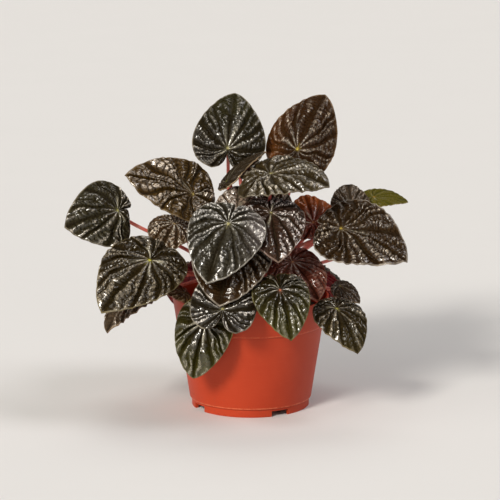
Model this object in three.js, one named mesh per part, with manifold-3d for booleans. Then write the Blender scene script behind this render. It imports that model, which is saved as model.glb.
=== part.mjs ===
// A ripple-leaved peperomia in its nursery pot, in millimetres, +Z up.
// The origin is on the pot's axis, on the surface that the pot stands on.
// +X is the plant's right and -Y its front.

import * as THREE from 'three';
import { mergeVertices } from 'three/addons/utils/BufferGeometryUtils.js';
import Module from 'manifold-3d';

const wasm = await Module();
wasm.setup();

// Pot
const potHeight = 79;
const rimRadius = 55;
const rimBandHeight = 20;
const rimLedge = 1;
const ledgeSlope = 0.6;
const rimBevel = 0.5;
const baseRadius = 42.8;
const baseChamfer = 0.8;
const wallThickness = 1.6;
const floorFillet = 1.8;
const footHeight = 6;
const footOuterRadius = 41.4;
const footWidth = 2.4;
const footNotchAngles = [-60, 30, 120, 210];
const footNotchWidth = 13;
const footNotchHeight = 4;
const footPadRadius = 12;
const footPadSides = 24;
const floorTop = 8;
const potSides = 40;

// Soil
const soilFloorGap = 0.3;
const soilWallGap = 0.9;
const soilTop = 68;
const soilRings = [0.78, 0.55, 0.34];
const soilCrownHole = 8.5;
const soilHoleDepth = 12;
const soilLump = 1.6;
const soilSides = 30;

// Crown and petioles
const crownRadius = 8.2;
const crownTop = 74;
const crownSides = 16;
const petioleSides = 5;
const petioleStep = 17;
const petioleTipRadius = 1.25;
const petioleSink = 3;
const junctionGap = 0.4;

// Blade, as shares of the length from the junction to the tip
const bladeThickness = 0.9;
const veinSpread = 17;
const archRise = 0.07;
const ridgeHeight = 0.062;
const puckerDepth = 0.3;
const largeBlade = 42.8;
const largeRings = { places: [0.26, 0.5, 0.76, 1], relief: [0.5, 1, 0.95, 0.42] };
const smallRings = { places: [0.34, 0.68, 1], relief: [0.7, 1, 0.42] };

// The margin's distance from the junction, from the tip round to the notch at the base
const marginAngles = [0, 12, 26, 45, 66, 90, 112, 132, 150, 164, 172, 180];
const marginRadii = [1, 0.9, 0.78, 0.68, 0.615, 0.57, 0.53, 0.46, 0.39, 0.33, 0.26, 0.09];

// The two lobes behind the junction start to swell at the first angle and are full at the second
const lobeStart = 70;
const lobeFull = 130;

// Sunken veins lie at these angles from the tip on each side, with a puffed ridge between two
const veinAngles = [0, 23, 48, 76, 106, 139];
const ridgeAngles = [11.5, 35.5, 62, 91, 122.5, 157];
const notchAngle = 172;

const plasticRed = { color: 0xb8442a, roughness: 0.45, metalness: 0 };
const pottingMix = { color: 0x2a1c12, roughness: 0.95, metalness: 0 };
const petioleRed = { color: 0xc04a44, roughness: 0.45, metalness: 0 };
const bladeTones = {
  grey: { color: 0x3a3c34, roughness: 0.38, metalness: 0 },
  olive: { color: 0x40391f, roughness: 0.38, metalness: 0 },
  brown: { color: 0x3b2a1e, roughness: 0.38, metalness: 0 },
  purple: { color: 0x35272b, roughness: 0.38, metalness: 0 },
  wine: { color: 0x5a1a1c, roughness: 0.42, metalness: 0 },
  young: { color: 0x55611f, roughness: 0.42, metalness: 0 },
};

// Each leaf: its junction and its tip, the way its upper face looks, its width over its length,
// how far its sides fall (below zero they rise), and where they differ from the rest,
// the bend of its petiole and the sizes of its two lobes.
const leaves = [
  {
    name: 'leaf_top_left', at: [-16, 25, 178], tip: [-11, 50, 214],
    face: [0, -0.8, 0.6], wide: 1.02, fall: 0.3, tone: 'grey', bend: [-8, 8, 0], lobes: [0.88, 0.88],
  },
  {
    name: 'leaf_top_right', at: [33, 28, 177], tip: [53, 49, 213],
    face: [-0.2, -0.8, 0.6], wide: 0.95, fall: 0.3, tone: 'brown', bend: [0, 12, 0],
  },
  {
    name: 'leaf_left_upper', at: [-39.5, -14, 152.5], tip: [-86, -28, 168],
    face: [-0.1, -0.75, 0.65], wide: 0.81, fall: -0.06, tone: 'olive',
  },
  {
    name: 'leaf_far_left', at: [-92, -8, 140], tip: [-128, -22, 131],
    face: [-0.3, -1, 0.3], wide: 1.1, fall: 0.25, tone: 'grey', lobes: [0.5, 0.78],
  },
  {
    name: 'leaf_left_big', at: [-69, -38, 111], tip: [-101, -62, 79],
    face: [-0.35, -0.85, 0.4], wide: 0.97, fall: 0.15, tone: 'olive',
  },
  {
    name: 'leaf_left_lower', at: [-78, -16, 82], tip: [-99, -38, 60],
    face: [-0.5, -0.3, 0.8], wide: 0.85, fall: 0.3, tone: 'brown', bend: [0, 0, 16], lobes: [0.7, 0.7],
  },
  {
    name: 'leaf_left_inner', at: [-53, -4, 130], tip: [-62, -27, 113],
    face: [-0.15, -0.8, 0.45], wide: 1, fall: 0.3, tone: 'brown',
  },
  {
    name: 'leaf_front_upper', at: [-15, -50, 139], tip: [-29, -73, 102],
    face: [-0.1, -0.8, 0.5], wide: 1, fall: 0.3, tone: 'grey', bend: [-4, 12, 28],
  },
  {
    name: 'leaf_front_lower', at: [-12, -40, 119], tip: [-21, -68, 85],
    face: [-0.1, -0.8, 0.6], wide: 1.05, fall: 0.3, tone: 'brown',
  },
  {
    name: 'leaf_heart_right', at: [14, -26, 142], tip: [19, -59, 114],
    face: [0.1, -0.7, 0.7], wide: 0.92, fall: 0.3, tone: 'purple', bend: [0, 8, 0], lobes: [1.12, 1.12],
  },
  {
    name: 'leaf_red_right', at: [29, -20, 106], tip: [47, -39, 83],
    face: [0.3, -0.7, 0.6], wide: 1.05, fall: 0.3, tone: 'wine',
  },
  {
    name: 'leaf_red_back', at: [44, 4, 129], tip: [38, 30, 143],
    face: [0, -0.8, 0.6], wide: 1.1, fall: 0.3, tone: 'wine',
  },
  {
    name: 'leaf_right_big', at: [62, -22, 130], tip: [107, -45, 111],
    face: [0.15, -0.75, 0.7], wide: 0.92, fall: 0, tone: 'brown', bend: [0, 14, 16], lobes: [1, 0.78],
  },
  {
    name: 'leaf_right_small', at: [71, 26, 136], tip: [70, 51, 148],
    face: [0, -0.7, 0.7], wide: 0.88, fall: 0.3, tone: 'brown',
  },
  {
    name: 'leaf_young_right', at: [88, 44, 140], tip: [113, 50, 135.5],
    face: [0.1, -0.5, 0.9], wide: 0.66, fall: 0.2, tone: 'young',
  },
  {
    name: 'leaf_rim_right', at: [20, -60, 95], tip: [27.5, -81, 65],
    face: [0.1, -0.8, 0.5], wide: 0.9, fall: 0.3, tone: 'olive', bend: [6, 0, 6],
  },
  {
    name: 'leaf_low_right', at: [59, -42, 78], tip: [73, -62, 51],
    face: [0.4, -0.7, 0.5], wide: 0.93, fall: 0.3, tone: 'olive', bend: [0, 0, 16], lobes: [0.8, 0.8],
  },
  {
    name: 'leaf_curled_right', at: [63, 8, 83], tip: [77, 2, 72],
    face: [0.3, -0.5, 0.8], wide: 0.95, fall: 0.4, tone: 'brown', bend: [0, 0, 8], lobes: [0.7, 0.7],
  },
  {
    name: 'leaf_rim_centre', at: [-19, -67, 83], tip: [-13, -33, 109],
    face: [0, -0.7, 0.7], wide: 0.9, fall: 0.3, tone: 'grey', bend: [4, 0, 16],
  },
  {
    name: 'leaf_low_left', at: [-31, -58, 72], tip: [-39.5, -57, 32],
    face: [-0.2, -0.9, 0.1], wide: 0.84, fall: 0.3, tone: 'olive', bend: [-1, -2, 32],
  },
  {
    name: 'leaf_rim_left', at: [-46, -38, 88], tip: [-61, -45, 91],
    face: [-0.2, -0.5, 0.8], wide: 1, fall: 0.3, tone: 'brown', bend: [0, 0, -1],
  },
  {
    name: 'leaf_inner_wine', at: [2, -22, 95], tip: [4, -37, 107],
    face: [0, 0.7, 0.7], wide: 0.6, fall: 0.3, tone: 'wine',
  },
  {
    name: 'leaf_crest_right', at: [14, -14, 167], tip: [54, -30, 161],
    face: [0, -0.4, 0.9], wide: 1, fall: 0.2, tone: 'olive', bend: [-2, -3, 0], lobes: [1.52, 1.25],
  },
  {
    name: 'leaf_crest_left', at: [-17, 6, 158], tip: [11, 12, 178],
    face: [-0.6, -0.15, 0.75], wide: 0.6, fall: 0.2, tone: 'brown', lobes: [0.6, 0.6],
  },
  {
    name: 'leaf_crest_under', at: [19, 10, 140], tip: [6, 20, 158],
    face: [0, -0.8, 0.6], wide: 0.8, fall: 0.2, tone: 'brown',
  },
  {
    name: 'leaf_heart_left', at: [-9, -15, 140], tip: [-9, 5, 154.5],
    face: [0, -0.6, 0.78], wide: 1.2, fall: 0.3, tone: 'purple', lobes: [1.15, 1.15],
  },
  {
    name: 'leaf_back_left', at: [-42, 50, 123], tip: [-62, 85, 106],
    face: [-0.35, 0.5, 0.8], wide: 1, fall: 0.3, tone: 'olive',
  },
  {
    name: 'leaf_back_centre', at: [-18, 62, 128], tip: [-24, 98, 106],
    face: [0, 0.6, 0.8], wide: 1.05, fall: 0.3, tone: 'grey',
  },
  {
    name: 'leaf_back_right', at: [32, 58, 118], tip: [52, 94, 98],
    face: [0.2, 0.6, 0.8], wide: 1, fall: 0.3, tone: 'brown',
  },
  {
    name: 'leaf_back_upper', at: [-10, 54, 174], tip: [-16, 88, 168],
    face: [-0.2, 0.4, 0.9], wide: 1, fall: 0.3, tone: 'olive',
  },
  {
    name: 'leaf_back_high', at: [26, 58, 158], tip: [48, 86, 146],
    face: [0.2, 0.5, 0.85], wide: 1, fall: 0.3, tone: 'purple',
  },
  {
    name: 'leaf_back_low_left', at: [-41, 59, 84], tip: [-50, 77, 51],
    face: [-0.5, 0.8, 0.4], wide: 1, fall: 0.3, tone: 'brown', bend: [0, 0, 20],
  },
  {
    name: 'leaf_back_low', at: [-1, 70, 90], tip: [2, 86, 54],
    face: [0, 0.9, 0.4], wide: 1, fall: 0.3, tone: 'olive', bend: [0, 0, 18],
  },
  {
    name: 'leaf_back_low_right', at: [44, 56, 86], tip: [63, 73, 54],
    face: [0.6, 0.6, 0.5], wide: 1, fall: 0.3, tone: 'grey', bend: [0, 0, 16],
  },
  {
    name: 'leaf_right_back', at: [76, 32, 108], tip: [101, 50, 92],
    face: [0.6, 0.1, 0.8], wide: 0.95, fall: 0.3, tone: 'olive',
  },
  {
    name: 'leaf_back_mid', at: [-48, 54, 150], tip: [-74, 72, 140],
    face: [-0.4, 0.2, 0.9], wide: 1, fall: 0.3, tone: 'brown',
  },
  {
    name: 'leaf_left_back', at: [-72, 22, 92], tip: [-106, 34, 76],
    face: [-0.5, 0.1, 0.85], wide: 1, fall: 0.3, tone: 'grey', bend: [0, 0, 10],
  },
];

// The middle of the crown, which the petioles spread from, and the point above it that they arch away from
const crownHeart = new THREE.Vector3(0, 0, crownTop - 6);
const canopyHeart = new THREE.Vector3(0, 0, crownTop + 20);

function radians(degrees) {
  return degrees * Math.PI / 180;
}

// A closed mesh with shared corners as a solid that can be cut and joined
function solidOf(geometry) {
  const bare = geometry.clone();
  bare.deleteAttribute('normal');
  bare.deleteAttribute('uv');
  const merged = mergeVertices(bare, 1e-4);
  return new wasm.Manifold(new wasm.Mesh({
    numProp: 3,
    vertProperties: new Float32Array(merged.attributes.position.array),
    triVerts: new Uint32Array(merged.index.array),
  }));
}

function geometryOf(solid) {
  const mesh = solid.getMesh();
  const geometry = new THREE.BufferGeometry();
  geometry.setAttribute('position', new THREE.BufferAttribute(new Float32Array(mesh.vertProperties), 3));
  geometry.setIndex(new THREE.BufferAttribute(new Uint32Array(mesh.triVerts), 1));
  geometry.computeVertexNormals();
  return geometry;
}

function named(name, geometry, finish) {
  const mesh = new THREE.Mesh(geometry, new THREE.MeshStandardMaterial(finish));
  mesh.name = name;
  return mesh;
}

// A ring or disc turned about the vertical axis from points of radius and height
function turned(points, sides) {
  const profile = points.map(([radius, height]) => new THREE.Vector2(radius, height));
  const geometry = new THREE.LatheGeometry(profile, sides);
  geometry.rotateX(Math.PI / 2);
  return geometry;
}

// The pot: one turned wall, floor and foot ring, a small pad under its middle, and notches in the foot
function makePot() {
  const ledgeHeight = potHeight - rimBandHeight;
  const taper = (rimRadius - rimLedge - baseRadius) / (potHeight - footHeight);
  const ledgeRadius = baseRadius + taper * (ledgeHeight - footHeight);
  const footInnerRadius = footOuterRadius - footWidth;
  const shell = turned([
    [0, footHeight],
    [footInnerRadius, footHeight],
    [footInnerRadius, 0],
    [footOuterRadius, 0],
    [footOuterRadius, footHeight - baseChamfer],
    [baseRadius, footHeight],
    [ledgeRadius, ledgeHeight - ledgeSlope],
    [ledgeRadius + rimLedge, ledgeHeight],
    [rimRadius, potHeight - rimBevel],
    [rimRadius - rimBevel, potHeight],
    [rimRadius - wallThickness, potHeight],
    [ledgeRadius + rimLedge - wallThickness, ledgeHeight],
    [baseRadius - wallThickness, floorTop + floorFillet],
    [baseRadius - wallThickness - floorFillet, floorTop],
    [0, floorTop],
  ], potSides);
  const padTop = (footHeight + floorTop) / 2;
  const pad = turned([[0, 0], [footPadRadius, 0], [footPadRadius, padTop], [0, padTop]], footPadSides);
  let pot = solidOf(shell).add(solidOf(pad));
  for (const angle of footNotchAngles) {
    const notch = new THREE.BoxGeometry(3 * footWidth, footNotchWidth, footNotchHeight + 2);
    notch.translate(footOuterRadius - footWidth / 2, 0, footNotchHeight / 2 - 1);
    notch.rotateZ(radians(angle - 90));
    pot = pot.subtract(solidOf(notch));
  }
  return named('pot', geometryOf(pot), plasticRed);
}

// How far the pot's inner wall is from the axis at a height
function innerRadius(height) {
  const taper = (rimRadius - baseRadius - rimLedge) / (potHeight - footHeight);
  return baseRadius - wallThickness + taper * (height - footHeight);
}

// The soil: a plug that fills the pot, with a lumpy top and a plain hole for the crown
function makeSoil() {
  const bottom = floorTop + soilFloorGap;
  const shoulder = floorTop + 2 * floorFillet;
  const reach = (height) => innerRadius(height) - soilWallGap;
  const top = reach(soilTop);
  const plug = turned([
    [0, bottom],
    [reach(bottom) - floorFillet, bottom],
    [reach(shoulder), shoulder],
    [top, soilTop],
    ...soilRings.map((share) => [top * share, soilTop]),
    [soilCrownHole, soilTop],
    [soilCrownHole, soilTop - soilHoleDepth],
    [0, soilTop - soilHoleDepth],
  ], soilSides);
  const place = plug.attributes.position;
  for (let i = 0; i < place.count; i += 1) {
    const x = place.getX(i);
    const y = place.getY(i);
    const fromAxis = Math.hypot(x, y);
    const onTop = place.getZ(i) > soilTop - 0.1 && fromAxis > soilCrownHole + 1 && fromAxis < top - 1;
    if (onTop) {
      place.setZ(i, soilTop + soilLump * Math.sin(0.31 * x + 1.3) * Math.cos(0.37 * y - 0.4));
    }
  }
  return named('soil', geometryOf(solidOf(plug)), pottingMix);
}

// The leaf's own directions: along to the tip, up out of its upper face, and across
function frameOf(leaf) {
  const root = new THREE.Vector3(...leaf.at);
  const reach = new THREE.Vector3(...leaf.tip).sub(root);
  const length = reach.length();
  const along = reach.clone().normalize();
  const up = new THREE.Vector3(...leaf.face);
  up.addScaledVector(along, -up.dot(along)).normalize();
  const across = new THREE.Vector3().crossVectors(up, along);
  return { root, length, along, up, across };
}

// How much smaller or larger than usual the blade is at an angle, for a lobe of its own size
function lobeShare(angle, lobe) {
  const t = Math.min(Math.max((angle - lobeStart) / (lobeFull - lobeStart), 0), 1);
  return 1 + (lobe - 1) * t * t * (3 - 2 * t);
}

// The margin's distance at an angle from the tip, on a smooth line through the listed points
function marginAt(angle) {
  const last = marginAngles.length - 1;
  let i = 0;
  while (i < last - 1 && marginAngles[i + 1] < angle) {
    i += 1;
  }
  const slope = (k) => {
    const low = Math.max(k - 1, 0);
    const high = Math.min(k + 1, last);
    return (marginRadii[high] - marginRadii[low]) / (marginAngles[high] - marginAngles[low]);
  };
  const span = marginAngles[i + 1] - marginAngles[i];
  const t = (angle - marginAngles[i]) / span;
  const startWeight = 2 * t ** 3 - 3 * t ** 2 + 1;
  const endWeight = 3 * t ** 2 - 2 * t ** 3;
  return startWeight * marginRadii[i] + endWeight * marginRadii[i + 1]
    + (t ** 3 - 2 * t ** 2 + t) * span * slope(i)
    + (t ** 3 - t ** 2) * span * slope(i + 1);
}

// The rays of the blade round the junction: veins at 0, ridge crests at 1
function bladeRays() {
  const rays = [];
  for (const angle of veinAngles) {
    rays.push({ angle, crest: 0 });
  }
  for (const angle of ridgeAngles) {
    rays.push({ angle, crest: 1 });
  }
  rays.push({ angle: notchAngle, crest: 0 });
  const left = rays.filter((ray) => ray.angle > 0).map((ray) => ({ angle: -ray.angle, crest: ray.crest }));
  rays.push(...left);
  rays.push({ angle: 180, crest: 0 });
  return rays.sort((a, b) => a.angle - b.angle);
}

// A place on the blade's upper face, in the leaf's own directions, as shares of its length
function bladePoint(ray, place, relief, leaf) {
  const fan = radians(ray.angle) + radians(veinSpread) * (1 - place) * Math.sin(radians(ray.angle));
  const lobe = (leaf.lobes ?? [1, 1])[ray.angle > 0 ? 0 : 1];
  const reach = place * marginAt(Math.abs(ray.angle)) * lobeShare(Math.abs(ray.angle), lobe);
  const x = reach * Math.cos(fan);
  const y = reach * Math.sin(fan) * leaf.wide;
  const z = 4 * archRise * x * (1 - x) - leaf.fall * y * y + ridgeHeight * relief;
  return [x, y, z];
}

// The blade: two faces with the same triangles, joined round the margin
function makeBlade(leaf) {
  const { root, length, along, up, across } = frameOf(leaf);
  const rays = bladeRays();
  const rings = length > largeBlade ? largeRings : smallRings;
  const upper = [[0, 0, 0]];
  rings.places.forEach((place, ring) => {
    rays.forEach((ray, k) => {
      const pucker = 1 - puckerDepth * ((ring + (k >> 1)) % 2);
      upper.push(bladePoint(ray, place, rings.relief[ring] * ray.crest * pucker, leaf));
    });
  });
  const points = [];
  for (const drop of [0, bladeThickness]) {
    for (const [x, y, z] of upper) {
      const point = root.clone();
      point.addScaledVector(along, x * length);
      point.addScaledVector(across, y * length);
      point.addScaledVector(up, z * length - drop);
      points.push(point);
    }
  }
  const count = upper.length;
  const corner = (ring, k) => 1 + ring * rays.length + (k % rays.length);
  const faces = [];
  const bothFaces = (a, b, c) => {
    faces.push(a, b, c);
    faces.push(count + a, count + c, count + b);
  };
  rays.forEach((ray, k) => {
    bothFaces(0, corner(0, k), corner(0, k + 1));
    for (let ring = 0; ring < rings.places.length - 1; ring += 1) {
      bothFaces(corner(ring, k), corner(ring + 1, k), corner(ring + 1, k + 1));
      bothFaces(corner(ring, k), corner(ring + 1, k + 1), corner(ring, k + 1));
    }
    const edge = corner(rings.places.length - 1, k);
    const next = corner(rings.places.length - 1, k + 1);
    faces.push(edge, count + edge, count + next);
    faces.push(edge, count + next, next);
  });
  const geometry = new THREE.BufferGeometry().setFromPoints(points);
  geometry.setIndex(faces);
  geometry.computeVertexNormals();
  return named(leaf.name, geometry, bladeTones[leaf.tone]);
}

// A petiole's line: out of the crown, up, and outward to the underside of the blade
function petioleLine(leaf) {
  const { root, along, up } = frameOf(leaf);
  const arrival = root.clone().sub(canopyHeart).normalize().add(up).normalize();
  const slant = arrival.clone().cross(up).length();
  const end = root.clone().addScaledVector(along, petioleTipRadius);
  end.addScaledVector(up, -(bladeThickness + junctionGap + petioleTipRadius * slant));
  const outward = new THREE.Vector3(end.x, end.y, 0).normalize();
  const start = crownHeart.clone().addScaledVector(outward, crownRadius - petioleSink);
  const span = start.distanceTo(end);
  const rise = outward.clone().multiplyScalar(0.3).add(new THREE.Vector3(0, 0, 1)).normalize();
  const first = start.clone().addScaledVector(rise, 0.4 * span);
  const second = end.clone().addScaledVector(arrival, -0.33 * span);
  if (leaf.bend) {
    first.add(new THREE.Vector3(...leaf.bend));
    second.addScaledVector(new THREE.Vector3(...leaf.bend), 0.5);
  }
  return new THREE.CubicBezierCurve3(start, first, second, end);
}

function petioleSolid(leaf) {
  const section = new THREE.Shape();
  for (let i = 0; i < petioleSides; i += 1) {
    const turn = radians(360 * i / petioleSides);
    const drawTo = i === 0 ? 'moveTo' : 'lineTo';
    section[drawTo](petioleTipRadius * Math.cos(turn), petioleTipRadius * Math.sin(turn));
  }
  section.closePath();
  const line = petioleLine(leaf);
  const geometry = new THREE.ExtrudeGeometry(section, {
    steps: Math.ceil(line.getLength() / petioleStep),
    bevelEnabled: false,
    extrudePath: line,
  });
  return solidOf(geometry);
}

// The crown: a short stump in the soil's hole, with every petiole grown from it
function makeCrown() {
  const foot = soilTop - soilHoleDepth + soilFloorGap;
  let crown = solidOf(turned([
    [0, foot],
    [crownRadius * 0.7, foot],
    [crownRadius, foot + 4],
    [crownRadius, crownTop - 3],
    [crownRadius * 0.6, crownTop],
    [0, crownTop],
  ], crownSides));
  for (const leaf of leaves) {
    crown = crown.add(petioleSolid(leaf));
  }
  return named('crown', geometryOf(crown), petioleRed);
}

const plant = new THREE.Group();
plant.add(makePot());
plant.add(makeSoil());
plant.add(makeCrown());
for (const leaf of leaves) {
  plant.add(makeBlade(leaf));
}

export default plant;
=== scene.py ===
import math
import random

import bpy
import numpy as np
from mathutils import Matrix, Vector, noise


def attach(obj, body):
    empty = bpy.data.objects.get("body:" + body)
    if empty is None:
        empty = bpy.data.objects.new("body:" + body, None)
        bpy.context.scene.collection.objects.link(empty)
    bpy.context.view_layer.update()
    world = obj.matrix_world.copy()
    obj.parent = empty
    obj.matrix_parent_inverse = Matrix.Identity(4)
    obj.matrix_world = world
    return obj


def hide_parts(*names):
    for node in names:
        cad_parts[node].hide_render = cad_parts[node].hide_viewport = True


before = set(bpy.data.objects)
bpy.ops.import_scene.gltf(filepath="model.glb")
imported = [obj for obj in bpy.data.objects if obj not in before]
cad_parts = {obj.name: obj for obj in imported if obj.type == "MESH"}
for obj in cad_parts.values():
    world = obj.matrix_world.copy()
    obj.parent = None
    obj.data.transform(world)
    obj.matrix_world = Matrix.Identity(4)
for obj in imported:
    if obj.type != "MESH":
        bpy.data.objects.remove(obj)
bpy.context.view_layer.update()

# A ripple-leaved peperomia in its nursery pot. +X is the plant's right, -Y its front, +Z up.
mm = 0.001

# The camera stands where the photograph was taken from
camera = {
    "target": (-0.00035, 0, 0.1103),
    "distance": 1.8,
    "elevation": 11.5,        # degrees above the pot's foot
    "widthAtTarget": 0.350,   # metres across the picture
}

# Soft suns: the way each shines from, how wide its disc is and how strong it is
lights = {
    "key": {"from": (-0.50, -0.80, 0.60), "width": 15, "strength": 2.6, "colour": (1.0, 0.94, 0.85)},
    "front": {"from": (-0.10, -1.0, 0.22), "width": 55, "strength": 0.66, "colour": (1.0, 0.94, 0.86)},
    "left": {"from": (-0.95, -0.40, 0.50), "width": 45, "strength": 0.60, "colour": (1.0, 0.95, 0.88)},
    "right": {"from": (0.66, -0.10, 0.85), "width": 26, "strength": 0.95, "colour": (1.0, 0.95, 0.95)},
    "top": {"from": (0.05, 0.60, 0.95), "width": 34, "strength": 0.75, "colour": (1.0, 0.95, 0.88)},
}

floor = {
    "side": 80.0, "colour": (0.74, 0.745, 0.75), "fleck": 0.98,
    "sky": (0.86, 0.855, 0.85), "skyLight": 0.10,     # what the camera sees, and the share that lights
}


# One socket of a shader tree. Sums on it add Math nodes.
class Wire:
    def __init__(self, tree, socket=None):
        self.tree = tree
        self.socket = socket

    # Adds a node: its settings first, then the values or links of its sockets
    def node(self, kind, settings, inputs, out=0):
        made = self.tree.nodes.new(kind)
        for name, value in settings.items():
            setattr(made, name, value)
        for name, value in inputs.items():
            if isinstance(value, Wire):
                self.tree.links.new(value.socket, made.inputs[name])
            else:
                made.inputs[name].default_value = value
        return Wire(self.tree, made.outputs[out])

    def maths(self, operation, *values):
        return self.node("ShaderNodeMath", {"operation": operation}, dict(enumerate(values)))

    def __add__(self, other):
        return self.maths("ADD", self, other)

    def __radd__(self, other):
        return self.maths("ADD", other, self)

    def __sub__(self, other):
        return self.maths("SUBTRACT", self, other)

    def __rsub__(self, other):
        return self.maths("SUBTRACT", other, self)

    def __mul__(self, other):
        return self.maths("MULTIPLY", self, other)

    def __rmul__(self, other):
        return self.maths("MULTIPLY", other, self)

    # 0 below low, 1 above high, smooth between
    def ease(self, low, high):
        settings = {"interpolation_type": "SMOOTHSTEP", "clamp": True}
        return self.node("ShaderNodeMapRange", settings, {0: self, 1: low, 2: high, 3: 0.0, 4: 1.0})

    # A colour of its own or one from a wire, mixed over this one
    def under(self, colour, factor):
        return mixColours(self, self, colour, factor)

    def attribute(self, name, out="Fac"):
        return self.node("ShaderNodeAttribute", {"attribute_name": name}, {}, out)

    def noise(self, vector, scale, detail):
        inputs = {"Vector": vector, "Scale": scale, "Detail": detail, "Roughness": 0.55}
        return self.node("ShaderNodeTexNoise", {}, inputs, "Fac")

    # The point of the surface, in the piece's own metres
    def point(self):
        return self.node("ShaderNodeTexCoord", {}, {}, "Object")


def opaque(colour):
    return colour if isinstance(colour, Wire) else (*colour, 1.0)


def mixColours(wire, first, second, factor):
    settings = {"data_type": "RGBA", "clamp_factor": True}
    return wire.node("ShaderNodeMix", settings, {0: factor, 6: opaque(first), 7: opaque(second)}, 2)


# A material with a principled shader whose fixed values are set on its own sockets
def newMaterial(name, fixed):
    material = bpy.data.materials.new(name)
    material.use_nodes = True
    tree = material.node_tree
    shader = tree.nodes["Principled BSDF"]
    for socket, value in fixed.items():
        shader.inputs[socket].default_value = value
    return material, shader, Wire(tree)


def plug(wire, shader, socket):
    wire.tree.links.new(wire.socket, shader.inputs[socket])


def bump(wire, height, strength, distance):
    return wire.node("ShaderNodeBump", {}, {"Height": height, "Strength": strength, "Distance": distance})


# A smooth line through listed points, with each slope taken from its neighbours
def smoothLine(places, values, at):
    places = np.asarray(places, float)
    values = np.asarray(values, float)
    last = len(places) - 1
    high = np.minimum(np.arange(last + 1) + 1, last)
    low = np.maximum(np.arange(last + 1) - 1, 0)
    slopes = (values[high] - values[low]) / (places[high] - places[low])
    i = np.clip(np.searchsorted(places, at, side="left") - 1, 0, last - 1)
    span = places[i + 1] - places[i]
    t = (at - places[i]) / span
    return (
        (2 * t**3 - 3 * t**2 + 1) * values[i]
        + (3 * t**2 - 2 * t**3) * values[i + 1]
        + (t**3 - 2 * t**2 + t) * span * slopes[i]
        + (t**3 - t**2) * span * slopes[i + 1]
    )


def smoothStep(low, high, at):
    t = np.clip((np.asarray(at, float) - low) / (high - low), 0, 1)
    return t * t * (3 - 2 * t)


def unit(vector):
    return vector / np.linalg.norm(vector)


def addObject(name, data):
    piece = bpy.data.objects.new(name, data)
    bpy.context.scene.collection.objects.link(piece)
    return piece


# A mesh object from points, faces and values kept at its points
def newPiece(name, points, faces, kept, material):
    mesh = bpy.data.meshes.new(name)
    mesh.from_pydata(points.tolist(), [], faces)
    mesh.polygons.foreach_set("use_smooth", [True] * len(mesh.polygons))
    for key, values in kept.items():
        values = np.asarray(values, np.float32)
        if values.ndim == 2:
            mesh.attributes.new(key, "FLOAT_VECTOR", "POINT").data.foreach_set("vector", values.ravel())
        else:
            mesh.attributes.new(key, "FLOAT", "POINT").data.foreach_set("value", values)
    mesh.materials.append(material)
    mesh.update()
    return addObject(name, mesh)


def settle(piece, slot, *nodes):
    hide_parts(*nodes)
    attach(piece, "root")


# Quads between rows of points that close round on themselves
def bandFaces(start, rows, columns):
    faces = []
    for row in range(rows - 1):
        for k in range(columns):
            a = start + row * columns + k
            b = start + row * columns + (k + 1) % columns
            faces.append((a, b, b + columns, a + columns))
    return faces


# Such a band with one face over each end
def tubeFaces(start, rows, columns):
    foot = tuple(start + k for k in reversed(range(columns)))
    head = tuple(start + (rows - 1) * columns + k for k in range(columns))
    return bandFaces(start, rows, columns) + [foot, head]


# Fans from the first and the last point to the rows beside them
def fanFaces(last, columns):
    faces = []
    for k in range(columns):
        after = (k + 1) % columns
        faces.append((0, 1 + after, 1 + k))
        faces.append((last, last - columns + k, last - columns + after))
    return faces


def turnsOf(sides):
    return np.arange(sides) * 2 * np.pi / sides


def ringAt(radius, level, turns):
    return np.stack([radius * np.cos(turns), radius * np.sin(turns), np.full(len(turns), level)], axis=1)


def placeCamera():
    data = bpy.data.cameras.new("camera")
    rise = math.radians(camera["elevation"])
    target = Vector(camera["target"])
    back = Vector((0, -math.cos(rise), math.sin(rise)))
    data.lens = data.sensor_width * camera["distance"] / camera["widthAtTarget"]
    data.clip_end = 60
    piece = addObject("camera", data)
    piece.location = target + back * camera["distance"]
    piece.rotation_euler = back.to_track_quat("Z", "Y").to_euler()
    bpy.context.scene.camera = piece


def placeLights():
    for name, light in lights.items():
        data = bpy.data.lights.new(name, "SUN")
        data.angle = math.radians(light["width"])
        data.energy = light["strength"]
        data.color = light["colour"]
        piece = addObject(name, data)
        piece.location = Vector(light["from"]) * 2
        piece.rotation_euler = Vector(light["from"]).to_track_quat("Z", "Y").to_euler()
    world = bpy.data.worlds.new("studio")
    world.use_nodes = True
    wire = Wire(world.node_tree)
    background = world.node_tree.nodes["Background"]
    background.inputs["Color"].default_value = opaque(floor["sky"])
    seen = wire.node("ShaderNodeLightPath", {}, {}, "Is Camera Ray")
    plug(floor["skyLight"] + (1 - floor["skyLight"]) * seen, background, "Strength")
    bpy.context.scene.world = world


def placeFloor():
    material, shader, wire = newMaterial("paleFloor", {"Roughness": 0.75, "Specular IOR Level": 0.3})
    where = wire.point()
    grain = wire.noise(where, 9.0, 4.0)
    fleck = [c * floor["fleck"] for c in floor["colour"]]
    plug(mixColours(wire, floor["colour"], fleck, grain), shader, "Base Color")
    half = floor["side"] / 2
    corners = np.array([(-half, -half, 0), (half, -half, 0), (half, half, 0), (-half, half, 0)])
    newPiece("floor", corners, [(0, 1, 2, 3)], {}, material)


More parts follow.
